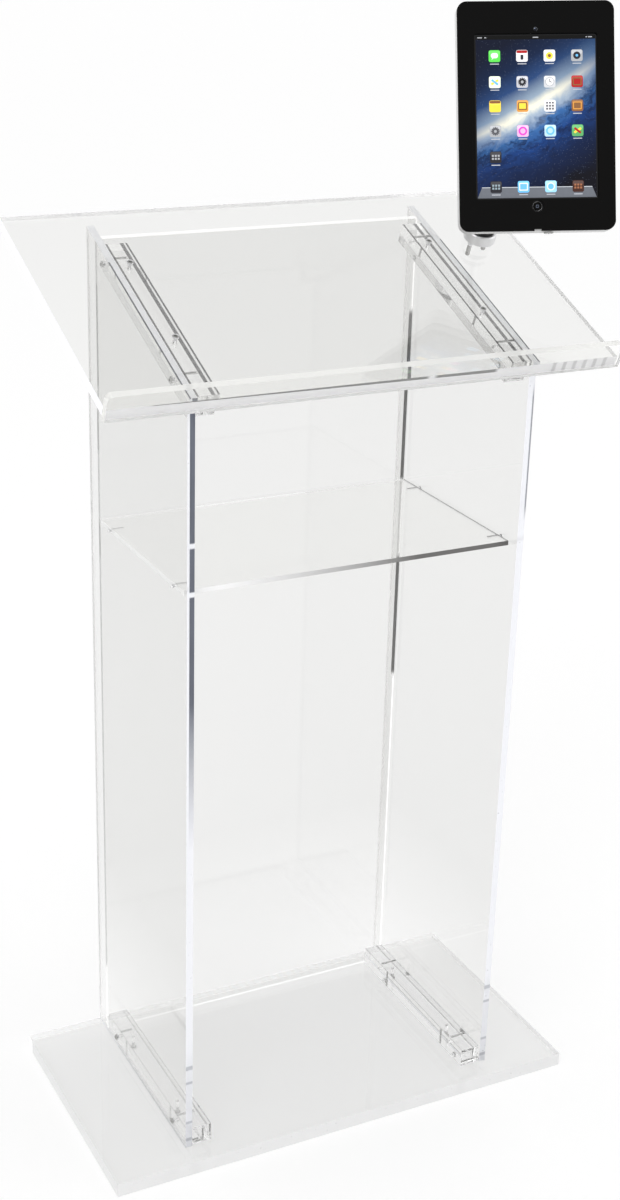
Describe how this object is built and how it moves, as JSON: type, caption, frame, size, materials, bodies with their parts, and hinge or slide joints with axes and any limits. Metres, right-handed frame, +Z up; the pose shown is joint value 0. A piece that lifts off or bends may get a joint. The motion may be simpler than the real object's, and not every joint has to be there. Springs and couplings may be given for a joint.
{
  "type": "presentation lectern",
  "caption": "Clear acrylic lectern with a sloped reading surface, paper lip, open shelf and wide base, and a lockable tablet holder on a swivelling, tilting arm.",
  "frame": {"origin": "centre of the base plate's underside", "axes": "+Z up; the speaker stands on the -Y side and the audience on the +Y side; +X is to the speaker's right"},
  "size_m": [0.7368, 0.3704, 1.4433],
  "materials": {
    "clear_acrylic": "clear cast sheet, polished faces and sawn, lightly frosted edges",
    "steel": "bright zinc plated",
    "aluminium": "satin anodised",
    "black_plastic": "satin black",
    "white_plastic": "semi-gloss white",
    "black_rubber": "matt",
    "screen_glass": "glossy cover glass over a lit display"
  },
  "bodies": {
    "lectern": {"base_plate": "clear_acrylic", "side_panel_left": "clear_acrylic", "side_panel_right": "clear_acrylic", "front_panel": "clear_acrylic", "shelf": "clear_acrylic", "bottom_bar_left": "clear_acrylic", "bottom_bar_right": "clear_acrylic", "top_bar_left": "clear_acrylic", "top_bar_right": "clear_acrylic", "reading_surface": "clear_acrylic", "paper_lip": "clear_acrylic", "bottom_cross_screw_left_1": "steel", "bottom_cross_screw_left_2": "steel", "bottom_cross_screw_right_1": "steel", "bottom_cross_screw_right_2": "steel", "top_cross_screw_left_1": "steel", "top_cross_screw_left_2": "steel", "top_cross_screw_right_1": "steel", "top_cross_screw_right_2": "steel", "shelf_screw_left_1": "steel", "shelf_screw_left_2": "steel", "shelf_screw_right_1": "steel", "shelf_screw_right_2": "steel", "base_screw_left_1": "steel", "base_screw_left_2": "steel", "base_screw_right_1": "steel", "base_screw_right_2": "steel", "desk_screw_left_1": "steel", "desk_screw_left_2": "steel", "desk_screw_right_1": "steel", "desk_screw_right_2": "steel", "arm_flange": "aluminium", "flange_screw_1": "steel", "flange_screw_2": "steel"},
    "arm": {"swivel_collar": "black_rubber", "arm_tube": "aluminium", "head_fork": "black_plastic", "tilt_bolt": "steel", "tilt_nut": "steel"},
    "tilt_head": {"tilt_knuckle": "black_plastic", "turntable_bearing": "black_rubber"},
    "screen": {"turntable_plate": "aluminium", "turntable_screw_1": "steel", "turntable_screw_2": "steel", "turntable_screw_3": "steel", "turntable_screw_4": "steel", "back_shell": "white_plastic", "tablet_body": "aluminium", "tablet_glass": "screen_glass", "lock_barrel": "steel"},
    "front_frame": {"front_frame": "black_plastic"},
    "lock": {"lock_plug": "steel", "lock_cam": "steel"},
    "home_button": {"home_button": "black_plastic"}
  },
  "joints": [
    {"name": "arm_swivel", "type": "hinge", "parent": "lectern", "child": "arm", "pos_m": [0.279, 0.08192, 1.14006], "axis": [0, -0.3827, 0.9239], "range_deg": [-160, 160]},
    {"name": "head_tilt", "type": "hinge", "parent": "arm", "child": "tilt_head", "pos_m": [0.30883, 0.02423, 1.29316], "axis": [0.91, -0.4147, 0], "range_deg": [-50, 30]},
    {"name": "screen_rotation", "type": "hinge", "parent": "tilt_head", "child": "screen", "pos_m": [0.2915, -0.0138, 1.3069], "axis": [-0.3939, -0.8644, 0.3123], "range_deg": [-92, 92]},
    {"name": "front_frame_hooks", "type": "hinge", "parent": "screen", "child": "front_frame", "pos_m": [0.30513, 0.02784, 1.43934], "axis": [-0.9139, 0.4045, -0.0332], "range_deg": [0, 30]},
    {"name": "lock_turn", "type": "hinge", "parent": "screen", "child": "lock", "pos_m": [0.29513, -0.05373, 1.17215], "axis": [-0.0977, -0.2985, -0.9494], "range_deg": [0, 90]},
    {"name": "home_button_press", "type": "slide", "parent": "screen", "child": "home_button", "axis": [0.3939, 0.8644, -0.3123], "range_m": [0, 0.0004], "stiffness_N_per_m": 400}
  ]
}
